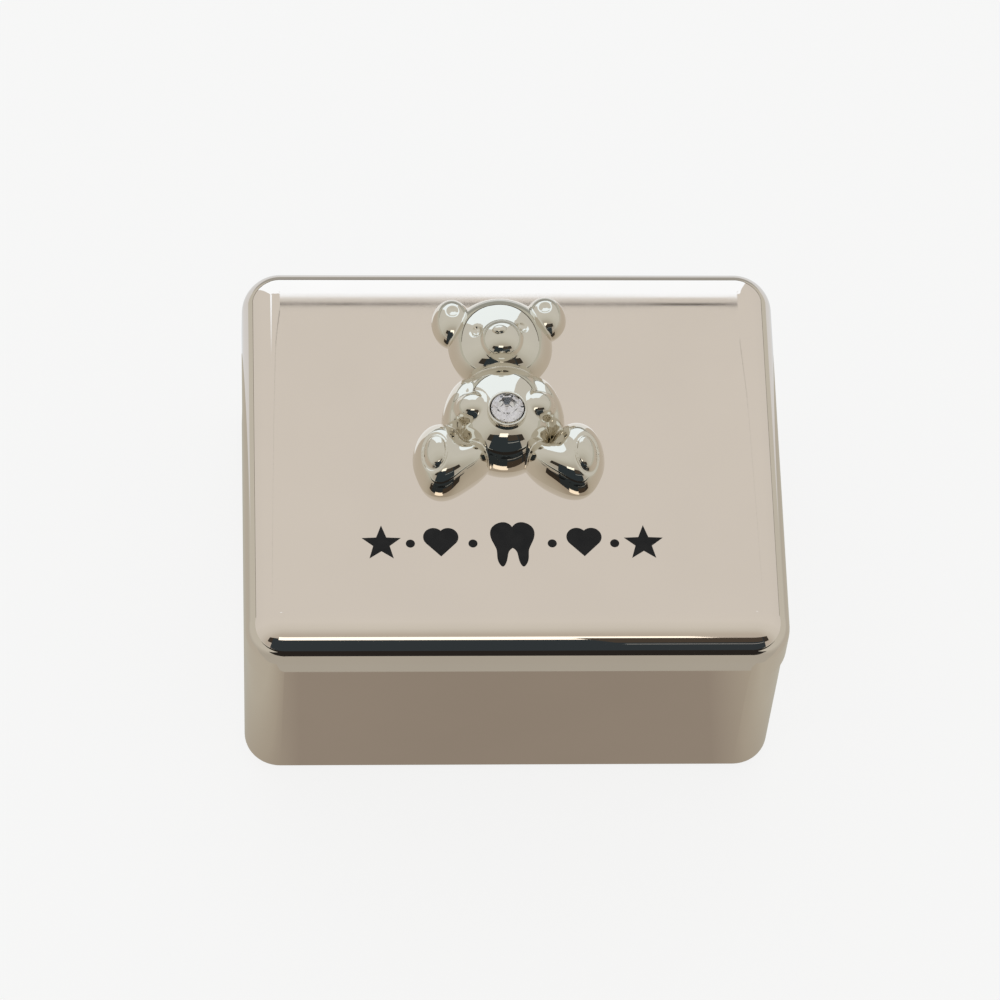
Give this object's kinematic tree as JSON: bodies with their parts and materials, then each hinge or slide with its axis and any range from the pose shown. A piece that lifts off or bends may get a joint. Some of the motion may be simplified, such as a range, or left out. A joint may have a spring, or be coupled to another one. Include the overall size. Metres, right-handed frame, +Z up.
{
  "type": "baby tooth box",
  "caption": "Rectangular silver-plated keepsake box with a lid hinged at the back; a cast teddy bear on the lid holds a round crystal above an enamel ornament.",
  "frame": {"origin": "middle of the felt face that the box stands on", "axes": "+X to the right seen from the front, +Y to the hinge at the back, +Z up"},
  "size_m": [0.05, 0.0434, 0.0311],
  "materials": {
    "silver_plate": "polished silver plate",
    "bright_silver": "bright polished casting",
    "crystal_glass": "cut and polished",
    "foil": "bright foil",
    "black_enamel": "glossy enamel",
    "hinge_metal": "plated hinge",
    "pin_steel": "plain steel",
    "velvet": "short velvet pile",
    "card": "grey board",
    "felt": "felt"
  },
  "bodies": {
    "base": {"base_shell": "silver_plate", "underside_felt": "felt", "base_wall_lining": "velvet", "base_floor_card": "card", "base_floor_cushion": "velvet", "base_hinge_leaf": "hinge_metal", "hinge_pin": "pin_steel"},
    "lid": {"lid_shell": "silver_plate", "lid_hinge_leaf": "hinge_metal", "lid_lining_card": "card", "lid_lining_pad": "velvet", "bear_figure": "bright_silver", "crystal": "crystal_glass", "crystal_foil": "foil", "enamel_inlay": "black_enamel"}
  },
  "joints": [
    {"name": "lid_hinge", "type": "hinge", "parent": "base", "child": "lid", "pos_m": [0, 0.02165, 0.0187], "axis": [-1, 0, 0], "range_deg": [0, 100]}
  ]
}
